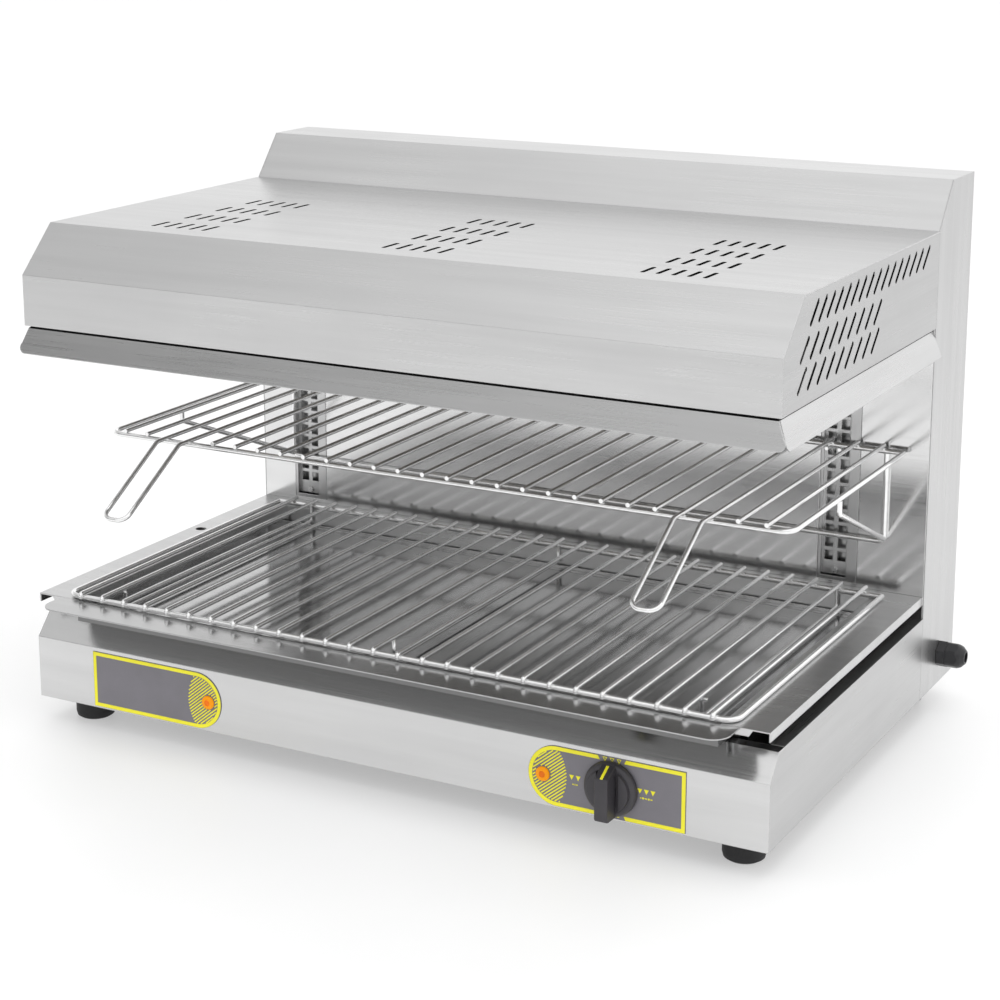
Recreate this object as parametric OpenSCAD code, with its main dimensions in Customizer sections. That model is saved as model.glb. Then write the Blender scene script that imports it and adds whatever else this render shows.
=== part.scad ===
// Electric cheese melter: a salamander grill that is open at the front and at both sides.
// X runs to the right, Y to the back and Z up. Millimetres.
// The model is laid out with Y = 0 on the face of the base and X = 0 midway across the casing,
// and placed() then moves it so that the origin lies under the middle of the whole object.

/* [Casing] */
// Width of the casing
body_w = 800; // [700:1:900]
// Depth from the face of the base to the back cover
body_d = 520; // [500:1:600]
// Thickness of the casing sheets
sheet_t = 1.2; // [0.8:0.1:1.5]
// Width of the seam between two neighbouring casing panels
seam = 0.4; // [0.2:0.1:0.6]
// Clearance between pieces that lie against each other
rest_gap = 0.3; // [0.2:0.05:0.5]

/* [Feet] */
// Diameter of a foot
foot_d = 40; // [30:1:50]
// Height of a foot under the base
foot_h = 27; // [15:1:40]
// Distance from the side of the casing to the middle of a foot
foot_inset_x = 38; // [30:1:60]
// Distance from the front and from the back to the middle of a foot
foot_inset_y = 40; // [30:1:60]
// Diameter of a foot's screw
foot_screw_d = 6; // [4:0.5:8]

/* [Base] */
// Height of the upright part of the base's face
face_h = 64; // [62:1:70]
// Height of the sloping part of the base's face
slope_h = 23; // [18:1:24]
// Depth of the sloping part of the base's face
slope_d = 20; // [10:1:30]
// Width of the folded rims along the top of the base
rim_w = 12; // [8:1:14]

/* [Deck] */
// Height of the deck above the underside of the base
deck_h = 110; // [110:1:120]
// Distance from the sides of the casing to the deck's folded edges
deck_inset = 2; // [2:0.5:50]
// Height of the deck's outer folds
deck_fold = 9; // [6:1:11]
// Distance from the face of the base to the deck's front edge
deck_front = 3; // [2:0.5:8]
// Distance from the sides of the casing to the well in the deck
well_inset = 48; // [48:1:100]
// Width of the deck's strip behind the well
deck_rear = 27; // [20:1:40]
// Depth of the folds along the sides of the well
well_fold = 14; // [10:1:15]
// Depth of the fold behind the well
rear_fold = 20; // [10:1:20]
// Height of the tabs at the front of the deck
deck_tab = 7; // [5:0.5:12]
// Diameter of the hole in the left side of the deck
deck_hole_d = 12; // [4:0.5:16]
// Distance from the left edge of the deck to that hole
deck_hole_x = 13; // [10:0.5:40]
// Distance from the face of the base to that hole
deck_hole_y = 264; // [150:1:350]

/* [Tray] */
// Gap between the tray's walls and the folds of the well
tray_gap = 2; // [1:0.5:4]
// Height of the tray's bottom above the rim of the base
tray_lift = 1; // [0.8:0.1:1.5]
// Height of the tray's side walls
tray_wall = 10; // [6:1:12]
// Height of the tray's back wall, which has to pass under the legs of the lower grid
tray_back = 4.4; // [2:0.1:4.6]
// How far the lip lies below the top of the deck
lip_drop = 0; // [0:0.5:5]
// Distance from the sides of the casing to the ends of the lip
lip_inset = 30; // [20:1:100]
// How far the lip stands in front of the base
lip_reach = 35; // [20:1:40]
// Radius of the lip's corners
lip_r = 18; // [8:1:30]
// Width of the runners that carry the tray
runner_w = 14; // [10:1:20]

/* [Column] */
// Depth of the column from the inner back wall to the back cover
column_d = 105; // [90:1:120]
// Height of the column above the underside of the base
column_h = 531; // [520:1:580]
// Depth of the column's flat top
cap_d = 67; // [50:1:80]

/* [Hood] */
// Distance from the face of the base to the hood's face
hood_y = 2; // [0:0.5:6]
// Height of the hood's lower edge above the underside of the base
hood_bottom = 388; // [384:1:395]
// Height of the upright part of the hood's face
hood_face_h = 51; // [40:1:60]
// Height of the hood's top above the underside of the base
hood_top = 485; // [480:1:495]
// Depth of the sloping part of the hood's face
hood_slope_d = 46; // [30:1:60]
// Width of the hood's lower rim
hood_rim = 14; // [10:1:20]

/* [Vents] */
// Width of a vent slot
slot_w = 4.5; // [2.5:0.5:5]
// Length of a vent slot
slot_l = 29; // [20:1:30]
// Distance between slots in the top, across the hood
top_pitch_x = 15; // [12:0.5:18]
// Distance between rows of slots in the top
top_pitch_y = 54; // [45:1:60]
// Distance from the face of the base to the first row in the top
top_first_y = 77; // [70:1:90]
// Distance from the sides of the hood to the middle of the outer groups of slots
group_inset = 134; // [130:1:200]
// Slots in a row of a group
top_columns = 5; // [3:1:6]
// Rows in a group
top_rows = 4; // [2:1:4]
// Lean of the side slots towards the back, in degrees
side_lean = 45; // [30:1:50]

/* [Visor] */
// Height of the visor that hangs under the hood
visor_h = 27.5; // [20:0.5:35]
// How far the visor's top edge stands in from the hood's sides
visor_inset = 4; // [2:0.5:8]
// How far the visor flares out to each side
visor_flare_x = 11.5; // [5:0.5:15]
// How far the visor flares out to the front
visor_flare_y = 6.6; // [3:0.2:10]
// Radius of the visor's lower front corners
visor_r = 6; // [3:0.5:9]
// Height and depth of the groove between the hood and the visor
visor_groove = 2.4; // [1:0.2:4]

/* [Heating] */
// Distance from the sides of the casing to the reflector
reflector_inset = 48; // [45:1:100]
// Height of the reflector's roof above the hood's lower edge
reflector_rise = 37; // [30:1:44]
// Diameter of the heating tubes
element_d = 8; // [6:0.5:10]
// Distance between the two runs of one element
element_pitch = 80; // [60:1:84]
// Distance from the last run to the back of the reflector
element_back = 75; // [60:1:90]
// Distance from the face of the base to the first run
element_y = 85; // [60:1:90]
// Height of the heating tubes above the hood's lower edge
element_rise = 6; // [4:0.5:12]
// Thickness of the insulation blanket
blanket_t = 22; // [10:1:24]

/* [Controls] */
// Length of a control plate
plate_w = 156; // [140:1:170]
// Height of a control plate
plate_h = 58; // [56:1:60]
// Thickness of a control plate
plate_t = 0.8; // [0.5:0.1:1.2]
// Distance from the left side of the casing to the left plate
plate_left_inset = 70; // [50:1:100]
// Distance from the right side of the casing to the right plate
plate_right_inset = 78; // [60:1:100]
// Distance from a plate's round end to its lamp
lamp_inset = 15; // [12:0.5:20]
// Diameter of a lamp's body
lamp_d = 12; // [8:0.5:14]
// Diameter of a lamp's lens
lens_d = 14; // [13:0.5:16]
// Distance from the right plate's square end to the middle of the knob
knob_inset = 72; // [60:1:77]
// Diameter of the knob's skirt
knob_d = 52; // [44:1:54]
// Height of the knob over the plate
knob_h = 22.5; // [20:0.5:27]
// Width of the knob's grip bar
grip_w = 13; // [10:0.5:18]
// Diameter of the switch shaft
shaft_d = 6; // [5:0.5:8]
// Running clearance round the shaft
shaft_gap = 0.05; // [0.03:0.01:0.1]

/* [Grids] */
// Diameter of the wires that form the frame of a grid
frame_wire_d = 5.5; // [4:0.5:6]
// Diameter of the wires of a grid's bed
bed_wire_d = 4.5; // [3:0.5:5]
// How deep the welded wires are sunk into each other
weld_sink = 0.4; // [0.2:0.1:0.6]
// Distance from the sides of the casing to the upper grid's side wires
upper_inset = 25; // [24:1:75]
// Distance from the face of the base to the upper grid's front wire
upper_y = 97; // [80:1:120]
// Height of the upper grid's frame above the deck
upper_rise = 150; // [140:1:170]
// Radius of the upper grid's front corners
upper_r = 16; // [10:1:25]
// Wires in the bed of the upper grid
upper_wires = 27; // [20:1:27]
// Distance from a side wire of the upper grid to its first bed wire
upper_margin = 22; // [20:0.5:60]
// How far the handles run on past the front wire before they bend down
handle_bend = 21; // [4:1:30]
// How far the handles reach forward of the front wire
handle_reach = 113; // [60:1:115]
// How far the handles drop under the front wire
handle_drop = 56; // [30:1:60]
// How far the upper grid's rear feet stand below its frame
bracket_drop = 96; // [60:1:100]
// Distance from the sides of the upper grid to its rear legs
bracket_inset = 19; // [9:1:30]
// Distance from the front wire to the upper end of the side brace
brace_y = 125; // [60:1:140]
// How far the side brace drops before it runs to the back
brace_drop = 13; // [8:0.5:20]
// Distance from the sides of the casing to the lower grid's side wires
lower_inset = 36; // [32:1:47]
// Distance from the lower grid's rear wire to the inner back wall
lower_rear = 25; // [23:1:31]
// Radius of the lower grid's front corners
lower_r = 14; // [8:1:20]
// Wires in the bed of the lower grid
lower_wires = 27; // [20:1:27]
// Distance from a side wire of the lower grid to its first bed wire
lower_margin = 19.5; // [19.5:0.5:60]
// Diameter of the lower grid's leg wires
leg_wire_d = 4; // [3:0.5:4.5]
// Drop of the lower grid's legs under its frame
leg_drop = 17; // [10:0.5:17]

/* [Racks] */
// Distance from the left side of the casing to the middle of the left rack
rack_left_inset = 60; // [60:1:120]
// Distance from the right side of the casing to the middle of the right rack
rack_right_inset = 98; // [85:1:120]
// Width of a rack's channel
rack_w = 28; // [22:1:30]
// Height of the racks above the deck
rack_h = 262; // [200:1:268]
// Distance between the windows of a rack
rack_pitch = 14; // [13:0.5:18]
// Height of a window
window_h = 10; // [9:0.5:11]

/* [Cable gland] */
// Distance from the back of the casing to the gland
gland_back = 46; // [30:1:60]
// Height of the gland above the underside of the base
gland_z = 32; // [25:1:60]
// Width of the gland's hexagons across the flats
gland_af = 24; // [18:1:30]
// Bore of the gland
gland_bore = 10; // [6:0.5:12]
// How far the gland stands out of the casing
gland_reach = 29; // [24:1:40]

/* [Screws] */
// Diameter of a casing screw's head
screw_head_d = 8; // [6:0.5:10]
// Height of a casing screw's head
screw_head_h = 2; // [1:0.5:3]
// Diameter of a casing screw's shank
screw_d = 4; // [3:0.5:5]

/* [Hidden] */

$fn = 48;

steel = "silver";
wire = "gainsboro";
dark_steel = "dimgray";
plastic_black = [0.12, 0.12, 0.13];

// Sizes of pieces inside the casing
frame_gap = 3;
frame_flange = 20;
pin_reach = 32;
tube_reach = 14;
insulator_d = 11;
insulator_l = 7.5;
pin_d = 4;
block_inset = 120;
block_back = 35;
loom_bend = 14;

// Heights above the floor
z_base = foot_h;
z_floor = z_base + sheet_t;
z_bend = z_base + face_h;
z_rim = z_bend + slope_h;
z_deck = z_base + deck_h;
z_tray = z_rim + tray_lift;
z_lip = z_deck - lip_drop;
z_hood = z_base + hood_bottom;
z_hood_bend = z_hood + hood_face_h;
z_hood_top = z_base + hood_top;
z_column = z_base + column_h;

// Places across and along the casing
half_w = body_w / 2;
inner_half = half_w - sheet_t;
column_y = body_d - column_d;
column_front = column_y - seam;
cap_y = body_d - cap_d;
deck_half = half_w - deck_inset;
well_half = half_w - well_inset;
lip_half = half_w - lip_inset;
rack_left_x = rack_left_inset - half_w;
rack_right_x = half_w - rack_right_inset;
rack_xs = [rack_left_x, rack_right_x];
well_back = column_y - deck_rear;
tray_half = well_half - tray_gap;
tray_rear = well_back - tray_gap;
frame_half = well_half + sheet_t + frame_gap;
plate_left_x = half_w - plate_left_inset;
plate_right_x = half_w - plate_right_inset;
knob_x = plate_right_x - knob_inset;
plate_z = z_base + plate_h / 2 + 2;
knob_z = plate_z;

// The visor and the heating box
visor_top = z_hood - rest_gap;
visor_bottom = visor_top - visor_h;
visor_top_y = hood_y + 2.6;
visor_top_half = half_w - visor_inset;
visor_bottom_y = visor_top_y - visor_flare_y;
visor_bottom_half = visor_top_half + visor_flare_x;
groove_z = visor_top - visor_groove;
groove_y = visor_top_y - visor_groove * visor_flare_y / visor_h;
groove_half = visor_top_half + visor_groove * visor_flare_x / visor_h;
reflector_front = hood_y + hood_rim;
reflector_back = column_y - 10;
reflector_half = half_w - reflector_inset;
z_roof = z_hood + reflector_rise;
z_element = z_hood + element_rise;
pin_x = reflector_half + pin_reach;

// The grids
z_lower = z_deck + frame_wire_d / 2 + rest_gap;
lower_front = deck_front + 3;
lower_back = column_y - lower_rear;
lower_half = half_w - lower_inset;
lower_first = lower_margin - lower_half;
lower_pitch = -2 * lower_first / (lower_wires - 1);
bed_offset = (frame_wire_d + bed_wire_d) / 2 - weld_sink;
z_lower_bed = z_lower + bed_offset;
z_leg = z_lower - leg_drop;
z_upper = z_deck + upper_rise;
z_upper_bed = z_upper + bed_offset;
upper_half = half_w - upper_inset;
upper_first = upper_margin - upper_half;
upper_pitch = -2 * upper_first / (upper_wires - 1);
bed_back = column_y - 4;
z_bracket = z_upper - bracket_drop;
bracket_y = column_y - rest_gap - frame_wire_d / 2;
upper_back = bracket_y - frame_wire_d + weld_sink;
bracket_half = upper_half - bracket_inset;
left_handle = 3;
right_handle = upper_wires - 3;

// The racks
rack_bottom = z_deck + 8;
rack_depth = 14;
rack_face_y = column_y + 5;
rack_top = rack_bottom + rack_h;
rack_rim = 4;
rack_left_edge = rack_w / 2 + 3;
rack_right_edge = rack_w / 2 + 11;
rack_edge = 2.5;
rack_blade = 5;
window_w = (rack_w - 2 * rack_edge - rack_blade) / 2;
window_x = (window_w + rack_blade) / 2;

// A hook leaves the grid's rear wire and drops at 45 degrees through a window
z_hook = z_upper - (frame_wire_d + leg_wire_d) / 2 + weld_sink;
hook_bend_y = rack_face_y - 6;
hook_low = z_hook - (rack_face_y + sheet_t - hook_bend_y) - leg_wire_d / 2 / cos(45);
hook_rows = floor((hook_low - rest_gap - rack_bottom - 8) / rack_pitch);
window_first = hook_low - rest_gap - hook_rows * rack_pitch;
window_rows = floor((rack_top - 8 - window_h - window_first) / rack_pitch);

// The cable gland and the wiring
gland_y = body_d - gland_back;
z_gland = z_base + gland_z;
gland_hole_d = gland_bore + 10;
gland_hex_h = 9;
gland_tip = half_w + gland_reach;
block_x = half_w - block_inset;
block_w = 62;
block_y = column_y + block_back;
block_d = 26;
block_h = 38;
loom_d = 9;
z_loom = z_hood + 20;
lead_d = 4;

// The middle of the whole object
mid_x = (gland_tip - visor_bottom_half) / 2;
mid_y = (body_d + screw_head_h - lip_reach) / 2;

// Moves the layout so that the origin lies under its middle
module placed() {
    translate([-mid_x, -mid_y, 0])
        children();
}

// Stands an outline drawn in Y and Z up, and stretches it along X from x to x + w
module along_x(x, w) {
    translate([x, 0, 0])
        rotate([90, 0, 90])
            linear_extrude(w)
                children();
}

// Stands an outline drawn in X and Z up, and stretches it along Y from y to y + d
module along_y(y, d) {
    translate([0, y + d, 0])
        rotate([90, 0, 0])
            linear_extrude(d)
                children();
}

module block(low, high) {
    translate(low)
        cube(high - low);
}

// A cylinder along Y, from y to y + h
module rod_y(x, y, z, d, h) {
    translate([x, y, z])
        rotate([-90, 0, 0])
            cylinder(d = d, h = h);
}

// A cylinder along X, from x to x + h
module rod_x(x, y, z, d, h) {
    translate([x, y, z])
        rotate([0, 90, 0])
            cylinder(d = d, h = h);
}

// A hexagonal bar along X
module hex_x(x, y, z, af, h) {
    translate([x, y, z])
        rotate([0, 90, 0])
            cylinder(d = af / cos(30), h = h, $fn = 6);
}

module both_sides() {
    children();
    mirror([1, 0, 0])
        children();
}

// Outlines of folded sheets: the path is the outer face, and the sheet lies to its right
function unit(v) = v / norm(v);
function right_of(a, b) = let (v = unit(b - a)) [v.y, -v.x];
function inner_point(path, i, t) =
    let (
        last = len(path) - 1,
        n1 = right_of(path[max(i - 1, 0)], path[max(i, 1)]),
        n2 = right_of(path[min(i, last - 1)], path[min(i + 1, last)])
    )
    path[i] + (n1 + n2) * t / (1 + n1 * n2);
function folded(path, t) = concat(
    path,
    [for (i = [len(path) - 1 : -1 : 0]) inner_point(path, i, t)]
);

// A round wire through a list of points, with every corner bent to the radius r
module straight_wire(a, b, d) {
    v = b - a;
    translate(a)
        rotate([0, acos(v.z / norm(v)), atan2(v.y, v.x)])
            cylinder(d = d, h = norm(v), $fn = 20);
}

// A bend is a trace thicker than the straights, which reach a little way into it
bend_swell = 0.06;
bend_lap = 0.3;

module wire_bend(before, corner, after, r, d) {
    a = unit(corner - before);
    b = unit(after - corner);
    turn = acos(a * b);
    n = unit(cross(a, b));
    m = cross(n, a);
    start = corner - a * r * tan(turn / 2);
    centre = start + m * r;
    multmatrix([
        [-m.x, a.x, n.x, centre.x],
        [-m.y, a.y, n.y, centre.y],
        [-m.z, a.z, n.z, centre.z],
        [0, 0, 0, 1]
    ])
        rotate_extrude(angle = turn, $fn = 48)
            translate([r, 0])
                circle(d = d + bend_swell, $fn = 20);
}

function bend_cut(points, i, r) =
    i == 0 || i == len(points) - 1
        ? 0
        : r * tan(acos(unit(points[i] - points[i - 1]) * unit(points[i + 1] - points[i])) / 2)
            - bend_lap;

module bent_wire(points, r, d) {
    for (i = [0 : len(points) - 2]) {
        along = unit(points[i + 1] - points[i]);
        straight_wire(
            points[i] + along * bend_cut(points, i, r),
            points[i + 1] - along * bend_cut(points, i + 1, r),
            d
        );
    }
    for (i = [1 : 1 : len(points) - 2])
        wire_bend(points[i - 1], points[i], points[i + 1], r, d);
}

// ---- Base ----

base_path = [
    [0, z_base],
    [0, z_bend],
    [slope_d, z_rim],
    [slope_d + rim_w, z_rim]
];

module base_front() {
    color(steel)
        placed()
            difference() {
                along_x(-half_w, body_w)
                    polygon(folded(base_path, sheet_t));
                rod_y(knob_x, -1, knob_z, shaft_d + 4, sheet_t + 2);
                for (x = [lamp_left_x, lamp_right_x])
                    rod_y(x, -1, plate_z, lamp_d + 1, sheet_t + 2);
            }
}

module base_side() {
    along_x(inner_half, sheet_t)
        difference() {
            polygon(concat(
                [for (i = [0 : 2]) base_path[i]],
                [[column_front, z_rim], [column_front, z_base]]
            ));
            polygon(folded(base_path, sheet_t));
        }
    block(
        [inner_half - rim_w, slope_d + rim_w + 2, z_rim - sheet_t],
        [inner_half, column_front, z_rim]
    );
}

module base_side_right() {
    color(steel)
        placed()
            base_side();
}

module base_side_left() {
    color(steel)
        placed()
            mirror([1, 0, 0])
                base_side();
}

foot_x = half_w - foot_inset_x;
foot_ys = [foot_inset_y, body_d - foot_inset_y];

module base_floor() {
    color(dark_steel)
        placed()
            difference() {
                block([-inner_half, sheet_t, z_base], [inner_half, body_d - sheet_t, z_floor]);
                for (x = [-foot_x, foot_x], y = foot_ys)
                    translate([x, y, z_base - 1])
                        cylinder(d = foot_screw_d + 0.5, h = sheet_t + 2);
                for (i = [-4 : 4], y = [body_d / 3, body_d / 2])
                    translate([i * body_w / 13, y, z_base - 1])
                        slot_z(slot_w, floor_slot_l, sheet_t + 2);
            }
}

floor_slot_l = 50;

// A slot with round ends along Y, its front end at Y = 0
module slot_z(w, l, h) {
    translate([-w / 2, w / 2, 0])
        cube([w, l - w, h]);
    for (y = [w / 2, l - w / 2])
        translate([0, y, 0])
            cylinder(d = w, h = h, $fn = 24);
}

// ---- Feet ----

screw_recess_d = foot_screw_d + 10;
screw_recess_h = foot_h - 8;

module foot(x, y) {
    color(plastic_black)
        placed()
            translate([x, y, 0])
                difference() {
                    rotate_extrude()
                        polygon([
                            [0, 0],
                            [foot_d / 2 - 4, 0],
                            [foot_d / 2 - 1, 2],
                            [foot_d / 2, 6],
                            [foot_d / 2, foot_h],
                            [0, foot_h]
                        ]);
                    translate([0, 0, -1])
                        cylinder(d = screw_recess_d, h = screw_recess_h + 1);
                    cylinder(d = foot_screw_d + 2 * rest_gap, h = foot_h + 1);
                }
}

module foot_front_left() {
    foot(-foot_x, foot_ys[0]);
}

module foot_front_right() {
    foot(foot_x, foot_ys[0]);
}

module foot_rear_left() {
    foot(-foot_x, foot_ys[1]);
}

module foot_rear_right() {
    foot(foot_x, foot_ys[1]);
}

module foot_screws() {
    head_h = 4;
    nut_h = 5;
    color(steel)
        placed()
            for (x = [-foot_x, foot_x], y = foot_ys) {
                translate([x, y, screw_recess_h - head_h])
                    cylinder(d = foot_screw_d + 5, h = head_h);
                translate([x, y, screw_recess_h - head_h / 2])
                    cylinder(d = foot_screw_d, h = z_floor + nut_h + 3 - screw_recess_h);
                translate([x, y, z_floor])
                    cylinder(d = foot_screw_d + 5, h = nut_h, $fn = 6);
            }
}

// ---- Deck and tray ----

module side_frame() {
    front = foot_inset_y + foot_screw_d + 8;
    along_y(front, column_front - front)
        polygon(folded([
            [frame_half + frame_flange, z_floor],
            [frame_half, z_floor],
            [frame_half, z_deck - sheet_t],
            [frame_half + frame_flange, z_deck - sheet_t]
        ], sheet_t));
}

module side_frame_right() {
    color(dark_steel)
        placed()
            side_frame();
}

module side_frame_left() {
    color(dark_steel)
        placed()
            mirror([1, 0, 0])
                side_frame();
}

module runner() {
    along_y(slope_d + rim_w + 4, tray_rear - slope_d - rim_w)
        polygon(folded([
            [frame_half - runner_w, z_tray - rest_gap],
            [frame_half - sheet_t, z_tray - rest_gap],
            [frame_half - sheet_t, z_tray + 8]
        ], sheet_t));
}

module runner_right() {
    color(dark_steel)
        placed()
            runner();
}

module runner_left() {
    color(dark_steel)
        placed()
            mirror([1, 0, 0])
                runner();
}

module deck() {
    deck_d = column_front - deck_front;
    color(steel)
        placed()
            difference() {
                union() {
                    both_sides()
                        along_y(deck_front, deck_d)
                            polygon(folded([
                                [well_half, z_deck - well_fold],
                                [well_half, z_deck],
                                [deck_half, z_deck],
                                [deck_half, z_deck - deck_fold]
                            ], sheet_t));
                    both_sides()
                        along_y(deck_front, sheet_t)
                            polygon([
                                [well_half + 4, z_deck - sheet_t / 2],
                                [deck_half - 16, z_deck - sheet_t / 2],
                                [deck_half - 20, z_deck - deck_tab],
                                [well_half + 4, z_deck - deck_tab]
                            ]);
                    along_x(-well_half - sheet_t, 2 * (well_half + sheet_t))
                        polygon(folded([
                            [well_back, z_deck - rear_fold],
                            [well_back, z_deck],
                            [column_front, z_deck]
                        ], sheet_t));
                }
                translate([deck_hole_x - deck_half, deck_hole_y, z_deck - 5])
                    cylinder(d = deck_hole_d, h = 6);
            }
}

module lip_outline() {
    corner = lip_r + 1;
    difference() {
        translate([-lip_half, -lip_reach])
            square([2 * lip_half, lip_reach + deck_front - rest_gap]);
        for (side = [-1, 1])
            translate([side * (lip_half - lip_r), lip_r - lip_reach])
                difference() {
                    translate([min(0, side * corner), -corner])
                        square(corner);
                    circle(lip_r);
                }
    }
}

module drip_tray() {
    lip_y = deck_front - rest_gap;
    color(steel)
        placed() {
            along_x(-tray_half, 2 * tray_half)
                polygon(folded([
                    [tray_rear, z_tray + tray_back],
                    [tray_rear, z_tray],
                    [lip_y, z_tray],
                    [lip_y, z_lip]
                ], sheet_t));
            both_sides()
                block(
                    [tray_half - sheet_t, lip_y, z_tray],
                    [tray_half, tray_rear, z_tray + tray_wall]
                );
            translate([0, 0, z_lip - sheet_t])
                linear_extrude(sheet_t)
                    lip_outline();
        }
}

// ---- Column ----

module column_side() {
    along_x(inner_half, sheet_t)
        polygon([
            [column_y, z_base],
            [column_y, z_hood_top],
            [cap_y, z_column],
            [body_d, z_column],
            [body_d, z_base]
        ]);
}

module column_side_right() {
    color(steel)
        placed()
            difference() {
                column_side();
                rod_x(inner_half - 1, gland_y, z_gland, gland_hole_d + 0.6, sheet_t + 2);
            }
}

module column_side_left() {
    color(steel)
        placed()
            mirror([1, 0, 0])
                column_side();
}

cap_lip = 18;

module column_cap() {
    color(steel)
        placed()
            along_x(-inner_half, 2 * inner_half)
                polygon(folded([
                    [column_y, z_hood_top - cap_lip],
                    [column_y, z_hood_top],
                    [cap_y, z_column],
                    [body_d, z_column],
                    [body_d, z_column - cap_lip]
                ], sheet_t));
}

module back_wall() {
    wall_top = z_hood_top - cap_lip - seam;
    color(steel)
        placed()
            difference() {
                block([-inner_half, column_y, z_floor], [inner_half, column_y + sheet_t, wall_top]);
                for (x = rack_xs)
                    block(
                        [x - rack_left_edge - seam, column_y - 1, rack_bottom - rack_rim],
                        [x + rack_right_edge + seam, column_y + 3, rack_top + rack_rim]
                    );
                rod_y(pin_x - 8, column_y - 1, z_loom, loom_d + 5, sheet_t + 2);
                rod_y(knob_x, column_y - 1, knob_z, loom_d + 5, sheet_t + 2);
            }
}

cover_screw_x = half_w - 30;
cover_screw_xs = [-cover_screw_x, -cover_screw_x / 3, cover_screw_x / 3, cover_screw_x];
cover_screw_zs = [z_base + 14, z_column - cap_lip - 14];

module rear_cover() {
    color(steel)
        placed()
            difference() {
                block(
                    [-inner_half, body_d - sheet_t, z_base],
                    [inner_half, body_d, z_column - cap_lip - seam]
                );
                for (side = [-1, 1], i = [-5 : 5], part = [1 / 4, 3 / 4])
                    translate([
                        side * half_w / 2 + i * top_pitch_x,
                        body_d + 1,
                        z_base + column_h * part
                    ])
                        rotate([90, 0, 0])
                            slot_z(slot_w, slot_l + 10, sheet_t + 2);
                for (x = cover_screw_xs, z = cover_screw_zs)
                    rod_y(x, body_d - sheet_t - 1, z, screw_d + 0.6, sheet_t + 2);
            }
}

module rear_cover_screws() {
    color(wire)
        placed()
            for (x = cover_screw_xs, z = cover_screw_zs) {
                rod_y(x, body_d, z, screw_head_d, screw_head_h);
                rod_y(x, body_d - 8, z, screw_d, 8);
            }
}

// ---- Hood ----

hood_path = [
    [hood_y + hood_rim, z_hood],
    [hood_y, z_hood],
    [hood_y, z_hood_bend],
    [hood_y + hood_slope_d, z_hood_top],
    [column_front, z_hood_top]
];

module hood_shell() {
    first_x = -top_pitch_x * (top_columns - 1) / 2;
    color(steel)
        placed()
            difference() {
                along_x(-half_w, body_w)
                    polygon(folded(hood_path, sheet_t));
                for (group = [-1 : 1], column = [0 : top_columns - 1], row = [0 : top_rows - 1])
                    translate([
                        group * (half_w - group_inset) + first_x + column * top_pitch_x,
                        top_first_y + row * top_pitch_y,
                        z_hood_top - sheet_t - 1
                    ])
                        slot_z(slot_w, slot_l, sheet_t + 2);
            }
}

// Rows of side slots: the first slot's lower end, the distance between slots and their number
side_rows = [
    [64, z_hood_top - 28, (column_y - 113) / 15, 16],
    [43, z_hood_top - 57, 23.1, 9],
    [38.5, z_hood_top - 83, 23.1, 9]
];

module hood_side() {
    difference() {
        along_x(inner_half, sheet_t)
            difference() {
                polygon(concat(
                    [for (i = [1 : 4]) hood_path[i]],
                    [[column_front, z_hood]]
                ));
                polygon(folded(hood_path, sheet_t));
            }
        for (row = side_rows, i = [0 : row[3] - 1])
            translate([inner_half - 1, row[0] + i * row[2], row[1]])
                rotate([-side_lean, 0, 0])
                    rotate([0, 90, 0])
                        rotate([0, 0, 90])
                            translate([0, -slot_w / 2, 0])
                                slot_z(slot_w, slot_l, sheet_t + 2);
    }
}

module hood_side_right() {
    color(steel)
        placed()
            hood_side();
}

module hood_side_left() {
    color(steel)
        placed()
            mirror([1, 0, 0])
                hood_side();
}

// ---- Visor and heating box ----

module visor_front_outline() {
    low = visor_bottom_half - visor_r * 1.25;
    polygon([
        [-groove_half, groove_z],
        [visor_groove - groove_half, visor_top],
        [groove_half - visor_groove, visor_top],
        [groove_half, groove_z],
        [visor_bottom_half - visor_r * 0.42, visor_bottom + visor_r],
        [low, visor_bottom],
        [-low, visor_bottom],
        [-visor_bottom_half + visor_r * 0.42, visor_bottom + visor_r]
    ]);
    for (side = [-1, 1])
        translate([side * (visor_bottom_half - visor_r * 1.4), visor_bottom + visor_r])
            circle(visor_r);
}

module visor() {
    color(steel)
        placed() {
            intersection() {
                along_x(-body_w, 2 * body_w)
                    polygon(folded([
                        [visor_bottom_y, visor_bottom],
                        [groove_y, groove_z],
                        [groove_y + visor_groove, visor_top],
                        [reflector_front, visor_top]
                    ], sheet_t));
                along_y(-100, 200)
                    visor_front_outline();
            }
            both_sides()
                intersection() {
                    along_y(-100, column_front + 100)
                        polygon(folded([
                            [reflector_half, visor_top],
                            [groove_half - visor_groove, visor_top],
                            [groove_half, groove_z],
                            [visor_bottom_half, visor_bottom]
                        ], sheet_t));
                    along_x(0, body_w)
                        polygon([
                            [groove_y + visor_groove, visor_top],
                            [groove_y + visor_groove, visor_top - sheet_t - 0.2],
                            [groove_y + 3, groove_z - 1],
                            [visor_bottom_y + 3.2, visor_bottom + 4],
                            [visor_bottom_y + 7, visor_bottom - 1],
                            [column_front, visor_bottom - 1],
                            [column_front, visor_top]
                        ]);
                }
        }
}

module reflector() {
    color(dark_steel)
        placed()
            difference() {
                union() {
                    along_x(-reflector_half, 2 * reflector_half)
                        polygon(folded([
                            [reflector_front, visor_top - sheet_t],
                            [reflector_front, z_roof],
                            [reflector_back, z_roof],
                            [reflector_back, visor_top - sheet_t]
                        ], sheet_t));
                    both_sides()
                        block(
                            [reflector_half - sheet_t, reflector_front, visor_top - sheet_t],
                            [reflector_half, reflector_back, z_roof]
                        );
                }
                for (y = element_ys)
                    rod_x(reflector_half - 5, y, z_element, element_d + 0.6, 10);
            }
}

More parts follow.
